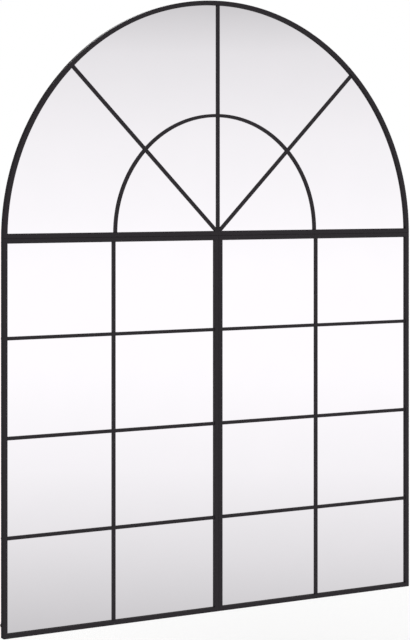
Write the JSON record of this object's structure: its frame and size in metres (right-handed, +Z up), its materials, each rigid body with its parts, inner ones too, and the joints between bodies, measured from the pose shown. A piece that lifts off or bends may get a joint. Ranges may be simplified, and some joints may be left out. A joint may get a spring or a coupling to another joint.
{
  "type": "arched window mirror",
  "caption": "Wall mirror in the form of an arched window: a half-round fan over rectangular panes, with thin black steel frames and glazing bars on silvered glass.",
  "frame": {"origin": "on the wall, midway between the two keyhole seats behind the arch's shoulders, where the mirror hangs", "axes": "+X to the viewer's right, +Y from the front of the mirror into the wall, +Z up"},
  "size_m": [1, 0.018, 1.3],
  "materials": {
    "frame_black": "satin black powder coat",
    "mirror_glass": "silvered float glass, polished",
    "backing_board": "raw fibreboard, smooth",
    "zinc_steel": "bright zinc plate",
    "bumper_rubber": "matt"
  },
  "bodies": {
    "root": {"fan_arch_bar": "frame_black", "fan_sill_rail": "frame_black", "fan_spoke_upright": "frame_black", "fan_spoke_left": "frame_black", "fan_spoke_right": "frame_black", "fan_ring_arc_1": "frame_black", "fan_ring_arc_2": "frame_black", "fan_ring_arc_3": "frame_black", "fan_ring_arc_4": "frame_black", "fan_mirror": "mirror_glass", "fan_backing_board": "backing_board", "left_outer_stile": "frame_black", "left_inner_stile": "frame_black", "left_top_rail": "frame_black", "left_bottom_rail": "frame_black", "left_upright_bar": "frame_black", "left_cross_bar_1_outer": "frame_black", "left_cross_bar_1_inner": "frame_black", "left_cross_bar_2_outer": "frame_black", "left_cross_bar_2_inner": "frame_black", "left_cross_bar_3_outer": "frame_black", "left_cross_bar_3_inner": "frame_black", "left_mirror": "mirror_glass", "left_backing_board": "backing_board", "right_outer_stile": "frame_black", "right_inner_stile": "frame_black", "right_top_rail": "frame_black", "right_bottom_rail": "frame_black", "right_upright_bar": "frame_black", "right_cross_bar_1_outer": "frame_black", "right_cross_bar_1_inner": "frame_black", "right_cross_bar_2_outer": "frame_black", "right_cross_bar_2_inner": "frame_black", "right_cross_bar_3_outer": "frame_black", "right_cross_bar_3_inner": "frame_black", "right_mirror": "mirror_glass", "right_backing_board": "backing_board", "joining_plate_centre": "zinc_steel", "joining_plate_left": "zinc_steel", "joining_plate_right": "zinc_steel", "joining_plate_bottom": "zinc_steel", "keyhole_hanger_left": "frame_black", "wall_bumper_left": "bumper_rubber", "keyhole_hanger_right": "frame_black", "wall_bumper_right": "bumper_rubber"},
    "fan_turn_button_1": {"fan_turn_button_1": "zinc_steel"},
    "fan_turn_button_2": {"fan_turn_button_2": "zinc_steel"},
    "fan_turn_button_3": {"fan_turn_button_3": "zinc_steel"},
    "fan_turn_button_4": {"fan_turn_button_4": "zinc_steel"},
    "left_turn_button_1": {"left_turn_button_1": "zinc_steel"},
    "left_turn_button_2": {"left_turn_button_2": "zinc_steel"},
    "left_turn_button_3": {"left_turn_button_3": "zinc_steel"},
    "left_turn_button_4": {"left_turn_button_4": "zinc_steel"},
    "right_turn_button_1": {"right_turn_button_1": "zinc_steel"},
    "right_turn_button_2": {"right_turn_button_2": "zinc_steel"},
    "right_turn_button_3": {"right_turn_button_3": "zinc_steel"},
    "right_turn_button_4": {"right_turn_button_4": "zinc_steel"}
  },
  "joints": [
    {"name": "fan_turn_button_1_pivot", "type": "hinge", "parent": "root", "child": "fan_turn_button_1", "pos_m": [-0.2, -0.00445, -0.33764], "axis": [0, 1, 0], "range_deg": [-90, 90]},
    {"name": "fan_turn_button_2_pivot", "type": "hinge", "parent": "root", "child": "fan_turn_button_2", "pos_m": [0.2, -0.00445, -0.33764], "axis": [0, 1, 0], "range_deg": [-90, 90]},
    {"name": "fan_turn_button_3_pivot", "type": "hinge", "parent": "root", "child": "fan_turn_button_3", "pos_m": [0.18552, -0.00445, 0.11679], "axis": [0, 1, 0], "range_deg": [-90, 90]},
    {"name": "fan_turn_button_4_pivot", "type": "hinge", "parent": "root", "child": "fan_turn_button_4", "pos_m": [-0.18552, -0.00445, 0.11679], "axis": [0, 1, 0], "range_deg": [-90, 90]},
    {"name": "left_turn_button_1_pivot", "type": "hinge", "parent": "root", "child": "left_turn_button_1", "pos_m": [-0.49525, -0.00445, -0.54239], "axis": [0, 1, 0], "range_deg": [-90, 90]},
    {"name": "left_turn_button_2_pivot", "type": "hinge", "parent": "root", "child": "left_turn_button_2", "pos_m": [-0.49525, -0.00445, -0.94239], "axis": [0, 1, 0], "range_deg": [-90, 90]},
    {"name": "left_turn_button_3_pivot", "type": "hinge", "parent": "root", "child": "left_turn_button_3", "pos_m": [-0.00475, -0.00445, -0.54239], "axis": [0, 1, 0], "range_deg": [-90, 90]},
    {"name": "left_turn_button_4_pivot", "type": "hinge", "parent": "root", "child": "left_turn_button_4", "pos_m": [-0.00475, -0.00445, -0.94239], "axis": [0, 1, 0], "range_deg": [-90, 90]},
    {"name": "right_turn_button_1_pivot", "type": "hinge", "parent": "root", "child": "right_turn_button_1", "pos_m": [0.49525, -0.00445, -0.54239], "axis": [0, 1, 0], "range_deg": [-90, 90]},
    {"name": "right_turn_button_2_pivot", "type": "hinge", "parent": "root", "child": "right_turn_button_2", "pos_m": [0.49525, -0.00445, -0.94239], "axis": [0, 1, 0], "range_deg": [-90, 90]},
    {"name": "right_turn_button_3_pivot", "type": "hinge", "parent": "root", "child": "right_turn_button_3", "pos_m": [0.00475, -0.00445, -0.54239], "axis": [0, 1, 0], "range_deg": [-90, 90]},
    {"name": "right_turn_button_4_pivot", "type": "hinge", "parent": "root", "child": "right_turn_button_4", "pos_m": [0.00475, -0.00445, -0.94239], "axis": [0, 1, 0], "range_deg": [-90, 90]}
  ]
}
